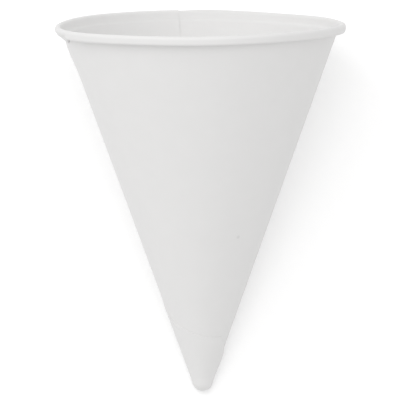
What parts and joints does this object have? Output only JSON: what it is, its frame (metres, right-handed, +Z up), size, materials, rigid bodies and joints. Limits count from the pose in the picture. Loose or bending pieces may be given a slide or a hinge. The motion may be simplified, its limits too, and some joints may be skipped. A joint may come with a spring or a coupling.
{
  "type": "cone paper cup",
  "caption": "Cone drinking cup of white paper with an outward rolled rim and a wrapped, rounded point, lying on its side.",
  "frame": {"origin": "on the surface the cup lies on, below the middle of its outline", "axes": "+Z up; the cup lies on its rim and its point with the glued lap underneath, its mouth towards +Y and its point towards -Y; X runs across the mouth"},
  "size_m": [0.074, 0.1012, 0.0692],
  "materials": {
    "paper": "smooth white cup paper, satin"
  },
  "bodies": {
    "root": {"cone_cup": "paper"}
  },
  "joints": []
}
